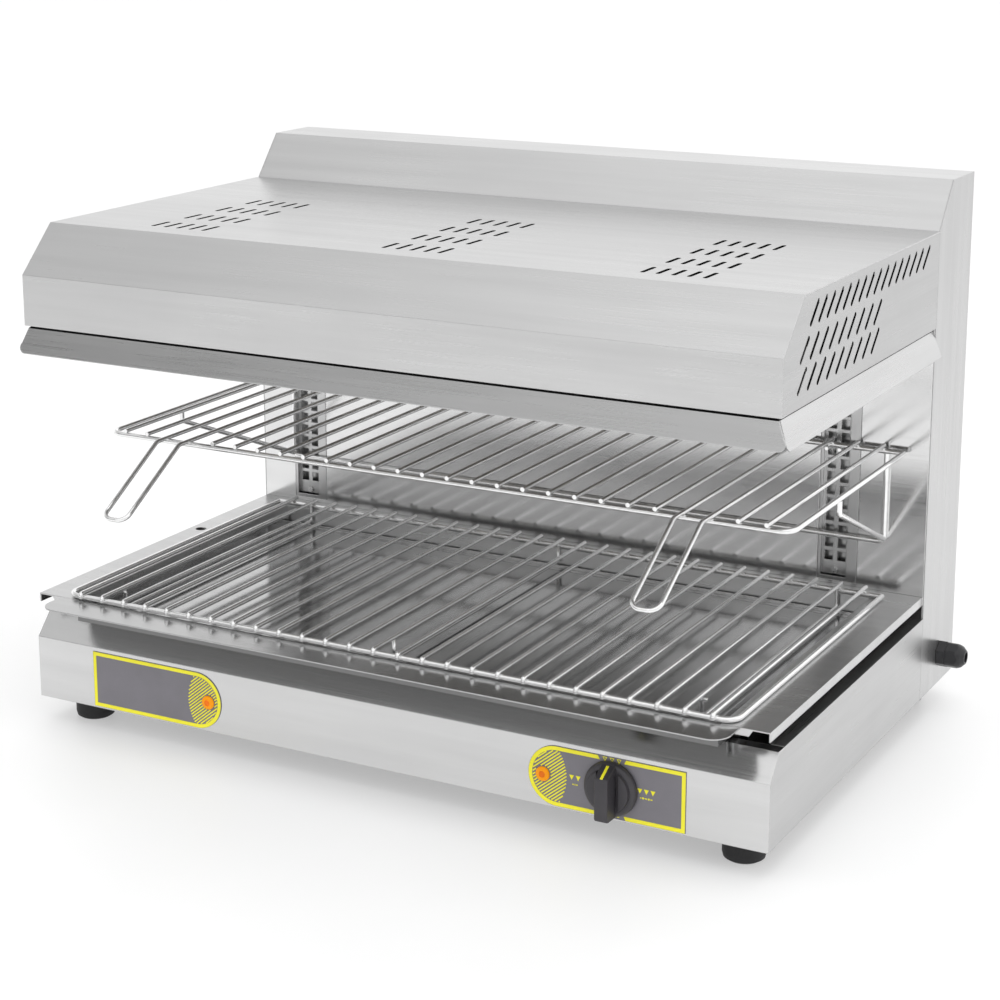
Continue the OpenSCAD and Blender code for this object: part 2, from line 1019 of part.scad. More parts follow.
module blanket() {
    color("beige")
        placed()
            block(
                [-reflector_half, reflector_front + 26, z_roof],
                [reflector_half, reflector_back, z_roof + blanket_t]
            );
}

element_last_y = reflector_back - element_back;
element_ys = [
    element_y,
    element_y + element_pitch,
    element_last_y - element_pitch,
    element_last_y
];

// A hairpin heating tube with a threaded pin at each end
module element(first) {
    y1 = element_ys[first];
    y2 = element_ys[first + 1];
    left_x = 30 - reflector_half;
    tube_x = reflector_half + tube_reach;
    color("dimgray")
        placed() {
            bent_wire([
                [tube_x, y1, z_element],
                [left_x, y1, z_element],
                [left_x, y2, z_element],
                [tube_x, y2, z_element]
            ], element_pitch / 2 - 0.01, element_d);
            for (y = [y1, y2])
                rod_x(tube_x - 1, y, z_element, pin_d, pin_x - tube_x + 1);
        }
}

module element_front() {
    element(0);
}

module element_rear() {
    element(2);
}

hanger_x = reflector_half * 5 / 8;

module element_hangers() {
    color(dark_steel)
        placed()
            for (x = [-hanger_x, 0, hanger_x])
                difference() {
                    block(
                        [x - 1, element_ys[0] - 14, z_element - element_d],
                        [x + 1, element_ys[3] + 14, z_roof - sheet_t]
                    );
                    for (y = element_ys)
                        rod_x(x - 5, y, z_element, element_d + 0.6, 10);
                }
}

module element_insulators() {
    color("ivory")
        placed()
            for (y = element_ys)
                difference() {
                    rod_x(reflector_half + tube_reach + rest_gap, y, z_element,
                        insulator_d, insulator_l);
                    rod_x(reflector_half + tube_reach - 1, y, z_element,
                        pin_d + 0.4, insulator_l + 3);
                }
}

// ---- Racks ----

module rack(x) {
    face_w = rack_w + 2 * sheet_t;
    color(steel)
        placed()
            translate([x, 0, 0])
                difference() {
                    union() {
                        block(
                            [-rack_left_edge, column_y, rack_bottom - rack_rim],
                            [rack_right_edge, column_y + sheet_t, rack_top + rack_rim]
                        );
                        for (side = [-1, 1])
                            translate([side * (rack_w + sheet_t) / 2, 0, 0])
                                block(
                                    [-sheet_t / 2, column_y, rack_bottom],
                                    [sheet_t / 2, column_y + rack_depth, rack_top]
                                );
                        block(
                            [-face_w / 2, column_y + rack_depth - sheet_t, rack_bottom],
                            [face_w / 2, column_y + rack_depth, rack_top]
                        );
                        block(
                            [-face_w / 2, rack_face_y, rack_bottom],
                            [face_w / 2, rack_face_y + sheet_t, rack_top]
                        );
                    }
                    block(
                        [-rack_w / 2, column_y - 2, rack_bottom],
                        [rack_w / 2, rack_face_y, rack_top]
                    );
                    for (row = [0 : window_rows], side = [-1, 1])
                        translate([side * window_x, 0, window_first + row * rack_pitch])
                            block(
                                [-window_w / 2, rack_face_y - 1, 0],
                                [window_w / 2, rack_face_y + 3, window_h]
                            );
                }
}

module rack_left() {
    rack(rack_left_x);
}

module rack_right() {
    rack(rack_right_x);
}

module rack_screws() {
    color(wire)
        placed()
            for (x = rack_xs, z = [rack_bottom + 5, rack_top - 6])
                rod_y(x, rack_face_y - 2, z, 7, 2);
}

// ---- Controls ----

plate_r = plate_h / 2;
lamp_left_x = plate_w - plate_left_x - lamp_inset;
lamp_right_x = plate_right_x - plate_w + lamp_inset;

// A plate with a square end on the outside and a round end towards the middle
module plate_outline() {
    translate([plate_r, -plate_r])
        square([plate_w - plate_r, plate_h]);
    translate([plate_r, 0])
        circle(plate_r, $fn = 96);
}

module plate_right() {
    color("gray")
        placed()
            difference() {
                translate([plate_right_x - plate_w, -plate_t, plate_z])
                    along_y(0, plate_t)
                        plate_outline();
                rod_y(knob_x, -5, knob_z, shaft_d + 4, 10);
                rod_y(lamp_right_x, -5, plate_z, lamp_d + 1, 10);
            }
}

module plate_left() {
    color("gray")
        placed()
            difference() {
                translate([plate_w - plate_left_x, -plate_t, plate_z])
                    mirror([1, 0, 0])
                        along_y(0, plate_t)
                            plate_outline();
                rod_y(lamp_left_x, -5, plate_z, lamp_d + 1, 10);
            }
}

module lamp_lens(x) {
    color("orange")
        placed()
            translate([x, -plate_t, plate_z])
                rotate([90, 0, 0])
                    rotate_extrude()
                        polygon([
                            [0, 0],
                            [lens_d / 2, 0],
                            [lens_d / 2, 1],
                            [lens_d / 2 - 1.2, 2.4],
                            [0, 3]
                        ]);
}

module lamp_lens_left() {
    lamp_lens(lamp_left_x);
}

module lamp_lens_right() {
    lamp_lens(lamp_right_x);
}

module lamp_body(x) {
    color("ivory")
        placed() {
            rod_y(x, -plate_t, plate_z, lamp_d, plate_t + sheet_t + 20);
            difference() {
                rod_y(x, sheet_t + rest_gap, plate_z, lamp_d + 6, 3);
                rod_y(x, sheet_t, plate_z, lamp_d - 1, 5);
            }
        }
}

module lamp_body_left() {
    lamp_body(lamp_left_x);
}

module lamp_body_right() {
    lamp_body(lamp_right_x);
}

knob_y = -plate_t - 0.8;
skirt_h = 6;

// The upper end of the grip slopes down to the skirt and carries the pointer
ramp_low = [knob_d / 2 - 1.5, skirt_h];
ramp_high = [knob_d / 2 - 10, knob_h];

module knob() {
    color(plastic_black)
        placed()
            translate([knob_x, knob_y, knob_z])
                rotate([90, 0, 0])
                    difference() {
                        union() {
                            rotate_extrude($fn = 96)
                                polygon([
                                    [0, 0],
                                    [knob_d / 2, 0],
                                    [knob_d / 2, 2.5],
                                    [knob_d / 2 - 1.5, skirt_h],
                                    [knob_d / 2 - 5, skirt_h + 1],
                                    [0, skirt_h + 1]
                                ]);
                            intersection() {
                                cylinder(d = knob_d - 1, h = knob_h, $fn = 96);
                                along_x(-grip_w / 2, grip_w)
                                    polygon([
                                        [-knob_d / 2, 0],
                                        [-knob_d / 2, knob_h],
                                        ramp_high,
                                        ramp_low,
                                        [ramp_low.x, 0]
                                    ]);
                            }
                            intersection() {
                                cylinder(d = knob_d - 8, h = knob_h, $fn = 96);
                                translate([-grip_w / 2 - 4, -knob_d / 2, 0])
                                    cube([grip_w + 8, knob_d - 12, skirt_h + 5]);
                            }
                        }
                        translate([0, 0, -1])
                            cylinder(d = shaft_d + 2 * shaft_gap, h = knob_h - 5);
                    }
}

module knob_pointer() {
    pointer_w = 2.4;
    pointer_t = 0.4;
    up = unit(ramp_high - ramp_low);
    out = [up.y, -up.x] * pointer_t;
    color("yellow")
        placed()
            translate([knob_x, knob_y, knob_z])
                rotate([90, 0, 0])
                    along_x(-pointer_w / 2, pointer_w)
                        polygon([
                            ramp_low + up,
                            ramp_high - up,
                            ramp_high - up + out,
                            ramp_low + up + out
                        ]);
}

switch_w = 44;
switch_d = 46;

module switch_shaft() {
    color(steel)
        placed()
            rod_y(knob_x, knob_y - knob_h + 7, knob_z, shaft_d, knob_h + 14);
}

module switch_body() {
    color("ivory")
        placed()
            difference() {
                block(
                    [knob_x - switch_w / 2, sheet_t + rest_gap, knob_z - switch_w / 2],
                    [knob_x + switch_w / 2, sheet_t + switch_d, knob_z + switch_w / 2]
                );
                rod_y(knob_x, 0, knob_z, shaft_d + 2 * shaft_gap, 24);
            }
}

// ---- Wiring ----

module terminal_block() {
    color("ivory")
        placed()
            difference() {
                block(
                    [block_x, block_y, z_floor],
                    [block_x + block_w, block_y + block_d, z_floor + block_h]
                );
                for (i = [0 : 4])
                    translate([block_x + 7 + 12 * i, block_y + 8, z_floor + block_h - 12])
                        cylinder(d = 6, h = 13);
            }
}

module terminal_screws() {
    color("goldenrod")
        placed()
            for (i = [0 : 4])
                translate([block_x + 7 + 12 * i, block_y + 8, z_floor + block_h - 12 + rest_gap])
                    cylinder(d = 5.4, h = 4);
}

module lamp_leads() {
    lead_y = sheet_t + 30;
    lamp_end = sheet_t + 20;
    color("white")
        placed() {
            bent_wire([
                [lamp_left_x, lamp_end, plate_z],
                [lamp_left_x, lead_y, plate_z],
                [knob_x - switch_w / 2, lead_y, plate_z]
            ], 5, lead_d);
            rod_y(lamp_right_x, lamp_end, plate_z, lead_d - 1, lead_y - lamp_end);
        }
}

module base_loom() {
    color("white")
        placed()
            bent_wire([
                [knob_x, sheet_t + switch_d, knob_z],
                [knob_x, block_y + block_d / 2, knob_z],
                [block_x, block_y + block_d / 2, knob_z]
            ], loom_bend, loom_d);
}

module hood_loom() {
    rise_x = block_x + block_w / 2;
    run_x = pin_x - 8;
    loom_y = block_y + block_d - 8;
    color("white")
        placed() {
            bent_wire([
                [rise_x, loom_y, z_floor + block_h],
                [rise_x, loom_y, z_loom],
                [run_x, loom_y, z_loom],
                [run_x, element_ys[0], z_loom]
            ], loom_bend, loom_d);
            for (y = element_ys)
                translate([run_x, y, z_element + 2])
                    cylinder(d = 3, h = z_loom - z_element - 4, $fn = 16);
        }
}

// ---- Cable gland ----

gland_shank_l = 12;
seal_start = half_w + gland_hex_h + 2 + rest_gap;
seal_end = seal_start + 12;
seal_d = gland_bore + 5.4;

module gland_body() {
    color(plastic_black)
        placed()
            difference() {
                union() {
                    hex_x(half_w + rest_gap, gland_y, z_gland, gland_af, gland_hex_h);
                    rod_x(inner_half - gland_shank_l, gland_y, z_gland, gland_hole_d,
                        gland_shank_l + sheet_t + 1);
                    rod_x(half_w + gland_hex_h, gland_y, z_gland, gland_hole_d, 8);
                }
                rod_x(inner_half - 20, gland_y, z_gland, gland_bore + 1, 60);
                rod_x(half_w + gland_hex_h + 2, gland_y, z_gland, gland_bore + 6, 60);
            }
}

module gland_nut() {
    nut_x = half_w + gland_hex_h + rest_gap + rest_gap;
    nut_l = gland_tip - nut_x;
    color(plastic_black)
        placed()
            difference() {
                translate([nut_x, gland_y, z_gland])
                    rotate([0, 90, 0])
                        intersection() {
                            cylinder(d = gland_af / cos(30), h = nut_l, $fn = 6);
                            rotate_extrude()
                                polygon([
                                    [0, 0],
                                    [gland_af / 2 + 1, 0],
                                    [gland_af / 2 + 1, nut_l - 9],
                                    [gland_af / 2 - 1, nut_l - 4],
                                    [gland_af / 2 - 5, nut_l],
                                    [0, nut_l]
                                ]);
                        }
                rod_x(nut_x - 1, gland_y, z_gland, gland_hole_d + 0.4, 9.5);
                rod_x(nut_x, gland_y, z_gland, seal_d + 2 * rest_gap, seal_end + rest_gap - nut_x);
                rod_x(nut_x, gland_y, z_gland, gland_bore + 1, 60);
            }
}

module gland_seal() {
    color("black")
        placed()
            difference() {
                rod_x(seal_start, gland_y, z_gland, seal_d, seal_end - seal_start);
                rod_x(half_w, gland_y, z_gland, gland_bore, 60);
            }
}

module gland_locknut() {
    color(plastic_black)
        placed()
            difference() {
                hex_x(inner_half - rest_gap - 5, gland_y, z_gland, gland_af, 5);
                rod_x(inner_half - 30, gland_y, z_gland, gland_hole_d + 0.4, 60);
            }
}

// ---- Lower grid ----

module lower_frame() {
    x = lower_half;
    leg_x = -lower_first - lower_pitch;
    leg_front = lower_front + 34;
    leg_back = lower_back - (frame_wire_d + leg_wire_d) / 2 + weld_sink;
    z_leg_top = z_lower_bed - bed_wire_d / 2 + weld_sink - leg_wire_d / 2;
    color(wire)
        placed() {
            bent_wire([
                [-x, lower_back, z_lower],
                [-x, lower_front, z_lower],
                [x, lower_front, z_lower],
                [x, lower_back, z_lower]
            ], lower_r, frame_wire_d);
            straight_wire([-x, lower_back, z_lower], [x, lower_back, z_lower], frame_wire_d);
            both_sides()
                bent_wire([
                    [leg_x + 6, leg_front, z_leg_top],
                    [leg_x, leg_front, z_leg_top],
                    [leg_x, leg_front, z_leg],
                    [leg_x, leg_back, z_leg],
                    [leg_x, leg_back, z_lower + 1]
                ], 3, leg_wire_d);
        }
}

module lower_bed() {
    color(wire)
        placed()
            for (i = [0 : lower_wires - 1])
                translate([lower_first + i * lower_pitch, 0, 0])
                    bent_wire([
                        [0, lower_front - frame_wire_d / 2 - 1.5, z_lower_bed - 5],
                        [0, lower_front - frame_wire_d / 2 - 1.5, z_lower_bed],
                        [0, lower_back + 7, z_lower_bed]
                    ], 3, bed_wire_d);
}

// ---- Upper grid ----

module upper_frame() {
    color(wire)
        placed() {
            bent_wire([
                [-upper_half, upper_back, z_upper],
                [-upper_half, upper_y, z_upper],
                [upper_half, upper_y, z_upper],
                [upper_half, upper_back, z_upper]
            ], upper_r, frame_wire_d);
            straight_wire(
                [-upper_half, upper_back, z_upper],
                [upper_half, upper_back, z_upper],
                frame_wire_d
            );
        }
}

function upper_wire_x(i) = upper_first + (i - 1) * upper_pitch;

module upper_bed() {
    handle_wires = [left_handle, left_handle + 1, right_handle, right_handle + 1];
    color(wire)
        placed()
            for (i = [1 : upper_wires])
                if (len(search(i, handle_wires)) == 0)
                    straight_wire(
                        [upper_wire_x(i), upper_y - 2, z_upper_bed],
                        [upper_wire_x(i), bed_back, z_upper_bed],
                        bed_wire_d
                    );
}

// Two neighbouring bed wires that run on to the front and form a handle
module grid_handle(first) {
    x1 = upper_wire_x(first);
    x2 = upper_wire_x(first + 1);
    front = [upper_y - handle_bend, z_upper_bed];
    end = [upper_y - handle_reach, z_upper_bed - handle_drop];
    color(wire)
        placed()
            bent_wire([
                [x1, bed_back, z_upper_bed],
                [x1, front[0], front[1]],
                [x1, end[0], end[1]],
                [x2, end[0], end[1]],
                [x2, front[0], front[1]],
                [x2, bed_back, z_upper_bed]
            ], 10, bed_wire_d);
}

module handle_left() {
    grid_handle(left_handle);
}

module handle_right() {
    grid_handle(right_handle);
}

// The wire that stands on the back wall, its braces and the hooks
module upper_bracket() {
    hook_reach = rack_depth - 4;
    top = z_upper - frame_wire_d / 2 + weld_sink;
    color(wire)
        placed() {
            bent_wire([
                [-bracket_half, bracket_y, z_upper + 1],
                [-bracket_half, bracket_y, z_bracket],
                [bracket_half, bracket_y, z_bracket],
                [bracket_half, bracket_y, z_upper + 1]
            ], 6, frame_wire_d);
            both_sides()
                bent_wire([
                    [upper_half, upper_y + brace_y, top],
                    [upper_half, upper_y + brace_y, top - brace_drop],
                    [bracket_half, bracket_y - 1, z_bracket + 3]
                ], 4, frame_wire_d);
            for (x = rack_xs, side = [-1, 1])
                bent_wire([
                    [x + side * window_x, upper_back - 4, z_hook],
                    [x + side * window_x, hook_bend_y, z_hook],
                    [x + side * window_x, hook_bend_y + hook_reach, z_hook - hook_reach]
                ], 3, leg_wire_d);
        }
}

base_front();
base_side_left();
base_side_right();
base_floor();
foot_front_left();
foot_front_right();
foot_rear_left();
foot_rear_right();
foot_screws();
side_frame_left();
side_frame_right();
runner_left();
runner_right();
deck();
drip_tray();
column_side_left();
column_side_right();
column_cap();
back_wall();
rear_cover();
rear_cover_screws();
hood_shell();
hood_side_left();
hood_side_right();
visor();
reflector();
blanket();
element_front();
element_rear();
element_hangers();
element_insulators();
rack_left();
rack_right();
rack_screws();
plate_left();
plate_right();
lamp_lens_left();
lamp_lens_right();
lamp_body_left();
lamp_body_right();
knob();
knob_pointer();
switch_shaft();
switch_body();
terminal_block();
terminal_screws();
lamp_leads();
base_loom();
hood_loom();
gland_body();
gland_nut();
gland_seal();
gland_locknut();
lower_frame();
lower_bed();
upper_frame();
upper_bed();
handle_left();
handle_right();
upper_bracket();
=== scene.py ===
import math

import bmesh
import bpy
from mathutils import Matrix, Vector


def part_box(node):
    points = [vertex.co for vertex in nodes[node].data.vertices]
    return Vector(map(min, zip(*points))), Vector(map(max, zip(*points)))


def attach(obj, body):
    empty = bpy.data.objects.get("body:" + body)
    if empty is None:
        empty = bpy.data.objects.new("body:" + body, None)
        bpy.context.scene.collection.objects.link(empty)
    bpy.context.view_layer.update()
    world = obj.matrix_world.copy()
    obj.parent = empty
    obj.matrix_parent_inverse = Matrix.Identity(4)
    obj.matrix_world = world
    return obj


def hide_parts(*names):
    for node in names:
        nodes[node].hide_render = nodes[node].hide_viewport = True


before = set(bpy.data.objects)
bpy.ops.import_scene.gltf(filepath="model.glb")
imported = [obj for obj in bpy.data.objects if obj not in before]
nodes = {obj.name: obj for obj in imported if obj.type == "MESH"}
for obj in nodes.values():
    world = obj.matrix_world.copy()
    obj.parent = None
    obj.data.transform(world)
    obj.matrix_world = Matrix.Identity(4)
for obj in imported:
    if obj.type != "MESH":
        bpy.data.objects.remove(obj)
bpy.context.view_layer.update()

# The layout counts millimetres from the middle of the casing (x), its face (y) and the floor (z).
MID_X, MID_Y = 10.75, 243.5


def at(x, y, z):
    return Vector(((x - MID_X) / 1000, (y - MID_Y) / 1000, z / 1000))


# ---------------------------------------------------------------- node trees


class Nodes:
    """A node tree, with short calls that add nodes to it and join them up."""

    def __init__(self, tree):
        self.tree = tree

    def join(self, socket, value):
        """Links an output to the socket, or sets the socket to a constant."""
        if isinstance(value, bpy.types.NodeSocket):
            self.tree.links.new(value, socket)
        else:
            socket.default_value = value

    def put(self, node, **values):
        """Joins up a node's inputs by name."""
        for key, value in values.items():
            self.join(node.inputs[key.replace("_", " ")], value)
        return node

    def put_at(self, node, inputs):
        """Joins up a node's inputs by number, for those that share a name."""
        for i, value in inputs.items():
            self.join(node.inputs[i], value)
        return node

    def add(self, kind, options=None, **values):
        node = self.tree.nodes.new(kind)
        for key, value in (options or {}).items():
            setattr(node, key, value)
        return self.put(node, **values)

    def calc(self, operation, *values):
        node = self.add("ShaderNodeMath", {"operation": operation})
        return self.put_at(node, dict(enumerate(values))).outputs[0]

    def parts(self, vector):
        return self.add("ShaderNodeSeparateXYZ", Vector=vector).outputs

    def span(self, value, low, high, start=0.3, end=0.7, curve="LINEAR"):
        """Goes from low to high as the value goes from start to end."""
        node = self.add("ShaderNodeMapRange", {"interpolation_type": curve}, Value=value)
        return self.put_at(node, {1: start, 2: end, 3: low, 4: high}).outputs["Result"]


class Shader(Nodes):
    """A material with the principled shader, and the patterns that feed it."""

    def __init__(self, name, **values):
        self.mat = bpy.data.materials.new(name)
        self.mat.use_nodes = True
        super().__init__(self.mat.node_tree)
        self.bsdf = next(n for n in self.tree.nodes if n.type == "BSDF_PRINCIPLED")
        self.put(self.bsdf, **values)

    def here(self):
        return self.add("ShaderNodeTexCoord").outputs["Object"]

    def facing(self):
        return self.add("ShaderNodeNewGeometry").outputs["True Normal"]

    def noise(self, scale=1.0, stretch=(1, 1, 1), detail=3.0, distortion=0.0, around=False):
        """Noise, stretched along the axes; around makes its first axis run on round upright corners."""
        where = self.here()
        if around:
            part = self.parts(where)
            run = self.calc("ADD", part["X"], part["Y"])
            where = self.add("ShaderNodeCombineXYZ", X=run, Z=part["Z"]).outputs["Vector"]
        mapped = self.add("ShaderNodeMapping", Vector=where, Scale=stretch).outputs["Vector"]
        made = self.add(
            "ShaderNodeTexNoise",
            Vector=mapped, Scale=scale, Detail=detail, Roughness=0.55, Distortion=distortion,
        )
        return made.outputs["Fac"]

    def mix(self, factor, a, b):
        node = self.add("ShaderNodeMix", {"data_type": "RGBA"})
        return self.put_at(node, {0: factor, 6: a, 7: b}).outputs[2]

    def between(self, vector, axis, low, high):
        """1 where the vector's part along the axis lies between low and high, and 0 elsewhere."""
        return self.calc("COMPARE", self.parts(vector)[axis], (low + high) / 2, (high - low) / 2)

    def cut_walls(self, axis, low, high, limit=0.5):
        """1 in the box from low to high, where the normal's part along the axis is under the limit.

        These are the walls of what is cut into a sheet that faces along the axis.
        """
        factor = self.between(self.facing(), axis, -limit, limit)
        where = self.here()
        for along, a, b in zip("XYZ", low, high):
            factor = self.calc("MULTIPLY", factor, self.between(where, along, a, b))
        return factor

    def bump(self, height, strength, distance, edge):
        """Bump over edges that look rounded by the radius edge."""
        rounded = self.add("ShaderNodeBevel", {"samples": 6}, Radius=edge).outputs["Normal"]
        made = self.add(
            "ShaderNodeBump", Height=height, Strength=strength, Distance=distance, Normal=rounded,
        )
        self.put(self.bsdf, Normal=made.outputs["Normal"])


# ---------------------------------------------------------------- materials

SHEET_EDGE, SMALL_EDGE = 0.0012, 0.0005  # how round the edges look, in metres
LINES_ALONG, LINES_ACROSS = 9, 700  # how often the brushed lines vary along and across the grain
STREAKS_ALONG, STREAKS_ACROSS = LINES_ALONG / 3, LINES_ACROSS / 12
CUT_SHADE_TONE = 0.012  # painted shade: the near black tone of the walls of slots and grooves
LOOKS_DOWN = (-1.1, -0.5)  # the upright part of the normal, on faces that look down


def grey(v, tint=0.0):
    return (v, v, v * (1 + tint), 1)


def brushed(
    name, grain, tone, rough, smudge=0.1, grit=0.12, pull=0.45, spread=0.055,
    around=False, vents=None, under=None, wall=None, lip=None,
):
    """Stainless sheet: fine lines along the grain, a few longer streaks and broad faint smudges.

    vents is a box of cuts whose walls are painted near black, as painted shade. under is the tone
    of a painted shade on faces that look down and on the walls in the box wall. lip is a range of
    heights that is rougher.
    """
    s = Shader(name, Metallic=1.0, Anisotropic=pull)
    lines = [LINES_ALONG if axis == grain else LINES_ACROSS for axis in "XYZ"]
    streaks = [STREAKS_ALONG if axis == grain else STREAKS_ACROSS for axis in "XYZ"]
    fine = s.noise(stretch=lines, detail=4, around=around)
    streak = s.noise(stretch=streaks, around=around)
    smear = s.noise(5.5, detail=5, distortion=0.8)
    colour = s.mix(s.span(streak, 0, 1), grey(tone * 0.95), grey(tone * 1.03))
    colour = s.mix(s.span(smear, 0, smudge, 0.35, 0.75), colour, grey(tone * 0.72, 0.02))
    # Painted shade: the walls of the cuts go near black, and faces that look down and the walls in the
    # box wall take the darker under tone.
    if vents:
        colour = s.mix(s.cut_walls(*vents), colour, grey(CUT_SHADE_TONE))
    if under:
        colour = s.mix(s.between(s.facing(), "Z", *LOOKS_DOWN), colour, grey(under))
        colour = s.mix(s.cut_walls(*wall), colour, grey(under))
    level = s.mix(s.span(fine, 0, 1), grey(rough - spread), grey(rough + spread))
    level = s.mix(s.span(smear, 0, 0.6, 0.4, 0.7), level, grey(rough + 0.05))
    if lip:
        level = s.mix(s.between(s.here(), "Z", *lip), level, grey(rough + 0.1))
    tangent = s.add("ShaderNodeTangent", {"direction_type": "RADIAL", "axis": grain})
    s.put(s.bsdf, Base_Color=colour, Roughness=level, Tangent=tangent.outputs["Tangent"])
    s.bump(fine, grit, 0.00006, SHEET_EDGE)
    return s.mat


def shades(colour, contrast):
    """A darker and a lighter shade of the colour."""
    return [tuple(c * (1 + side * contrast) for c in colour) + (1,) for side in (-1, 1)]


def plain_metal(name, tone, rough, scale=60, contrast=0.1, strength=0.05, metallic=1.0, tint=(1, 1, 1)):
    s = Shader(name, Metallic=metallic)
    cloud = s.noise(scale, detail=4)
    s.put(s.bsdf, Base_Color=s.mix(s.span(cloud, 0, 1), *shades([tone * t for t in tint], contrast)))
    s.put(s.bsdf, Roughness=s.span(cloud, rough * 0.85, rough * 1.2))
    s.bump(cloud, strength, 0.0002, SMALL_EDGE)
    return s.mat


def moulded(name, colour, rough, grain=900, strength=0.1, contrast=0.12, **extra):
    """Moulded plastic or rubber: an even colour with a fine grain."""
    s = Shader(name, **extra)
    fine = s.noise(grain)
    wide = s.noise(40)
    s.put(s.bsdf, Base_Color=s.mix(s.span(wide, 0, 1), *shades(colour, contrast)))
    s.put(s.bsdf, Roughness=s.span(fine, rough - 0.06, rough + 0.08))
    s.bump(fine, strength, 0.00015, SMALL_EDGE)
    return s.mat


# Boxes round what is cut into the hood, its sides and the visor, and round the tray's front wall; the
# walls in them are painted dark as painted shade.
# They stay clear of the folds. PAST_SIDES reaches past both sides of the object, and TOP_SKIN is
# a little more than the sheet's thickness.
PAST_SIDES = 0.5
hood_low, hood_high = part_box("hood_shell")
TOP_VENTS_X, HOOD_SLOPE, TOP_SKIN = 0.36, 0.05, 0.0016
top_vents = (
    "Z",
    (-TOP_VENTS_X, hood_low.y + HOOD_SLOPE, hood_high.z - TOP_SKIN),
    (TOP_VENTS_X, hood_high.y, hood_high.z),
)
CLEAR_FRONT, CLEAR_REAR, CLEAR_TOP = 0.055, 0.01, 0.012
side_vents = (
    "X",
    (-PAST_SIDES, hood_low.y + CLEAR_FRONT, hood_low.z),
    (PAST_SIDES, hood_high.y - CLEAR_REAR, hood_high.z - CLEAR_TOP),
)
visor_low, visor_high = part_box("visor")
# Painted shadow: the top of the visor, in the groove box, is painted near black for the shade under the
# hood's edge.
GROOVE_DEPTH, GROOVE_LIMIT = 0.0025, 0.9
groove = (
    "Z",
    (-PAST_SIDES, visor_low.y, visor_high.z - GROOVE_DEPTH),
    (PAST_SIDES, visor_high.y, visor_high.z),
    GROOVE_LIMIT,
)
tray_low, tray_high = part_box("drip_tray")
WALL_FRONT, WALL_BACK, UNDER_LIP = 2, 4, 0.0013
# Painted shade: the tray's front wall under the lip, in this box, is painted dark.
shaded_tray_wall = (
    "Z",
    (-PAST_SIDES, at(0, WALL_FRONT, 0).y, tray_low.z),
    (PAST_SIDES, at(0, WALL_BACK, 0).y, tray_high.z - UNDER_LIP),
)
LIP_BELOW, LIP_ABOVE = 0.003, 0.001
tray_lip = (tray_high.z - LIP_BELOW, tray_high.z + LIP_ABOVE)

# Lit and shaded copies of one stainless steel: besides grain and roughness, the tone is set per part as
# painted light and shade, lighter on the base's face and the back wall and darker on the hood's and the
# base's sides.
steel_hood = brushed("steel_hood", "X", 0.64, 0.30, vents=top_vents)
steel_hood_side_shaded = brushed("steel_hood_side_shaded", "Y", 0.51, 0.30, vents=side_vents)
steel_visor = brushed("steel_visor", "X", 0.64, 0.28, vents=groove, around=True)
steel_lengthwise = brushed("steel_lengthwise", "X", 0.64, 0.30)
steel_face_lit = brushed("steel_face_lit", "X", 0.67, 0.18)
steel_side_shaded = brushed("steel_side_shaded", "Y", 0.55, 0.30)
steel_upright = brushed("steel_upright", "Z", 0.6, 0.30)
# Painted light: the back wall's tone is raised for the light it catches.
steel_back_wall_lit = brushed(
    "steel_back_wall_lit", "X", 0.76, 0.15, smudge=0.15, grit=0.03, pull=0.2, spread=0.03,
)
# The tray is smooth, with a rougher lip; its underside and the wall under the lip are painted darker, as
# painted shade.
steel_tray_shaded = brushed(
    "steel_tray_shaded", "X", 0.53, 0.1, grit=0.008, pull=0.0, spread=0.02,
    under=0.19, wall=shaded_tray_wall, lip=tray_lip,
)
# Painted shade: the base floor, side frames and runners are near black for the shade inside the base.
sheet_dark_for_shade = plain_metal("sheet_dark_for_shade", 0.16, 0.42, contrast=0.2)
sheet_heated = plain_metal("sheet_heated", 0.42, 0.34, contrast=0.2, tint=(1.0, 0.95, 0.88))
chrome = plain_metal("wire_chrome", 0.9, 0.07, scale=220, contrast=0.05, strength=0.02, metallic=0.85)
screw_zinc = plain_metal("screw_zinc", 0.62, 0.28, scale=400)
tube_oxidised = plain_metal("tube_oxidised", 0.13, 0.5, scale=90, contrast=0.35, tint=(1, 0.93, 0.88))
brass = plain_metal("terminal_brass", 0.6, 0.3, scale=300, tint=(1, 0.78, 0.36))
plate_grey = moulded("plate_grey", (0.19, 0.182, 0.203), 0.42, grain=1400, strength=0.04, contrast=0.05)
mark_yellow = moulded("mark_yellow", (0.95, 0.88, 0.03), 0.45, grain=1500, strength=0.03, contrast=0.04)
knob_black = moulded("knob_black", (0.044, 0.041, 0.047), 0.42, grain=1600, strength=0.12)
gland_black = moulded("gland_black", (0.016, 0.016, 0.018), 0.36, grain=1300)
rubber = moulded("foot_rubber", (0.012, 0.012, 0.013), 0.62, grain=700, strength=0.3)
pale = moulded("insulator_pale", (0.72, 0.69, 0.6), 0.5, grain=500)
sleeve = moulded("sleeve_pale", (0.62, 0.6, 0.54), 0.7, grain=1800, strength=0.4)
# Painted shade: the blanket is near black for the shade inside the hood.
wool_dark_for_shade = moulded("wool_dark_for_shade", (0.02, 0.02, 0.021), 0.95, grain=260, strength=1.0, contrast=0.2)
lit = {"Emission_Color": (1.0, 0.4, 0.0, 1), "Specular_IOR_Level": 0.22}
lens = moulded(
    "lens_amber", (0.95, 0.33, 0.002), 0.32, grain=300, strength=0.05, contrast=0.1,
    Emission_Strength=0.1, **lit,
)
lens_core = moulded(
    "lens_core", (0.85, 0.16, 0.005), 0.25, grain=300, strength=0.1, contrast=0.3,
    Emission_Strength=0.08, **lit,
)

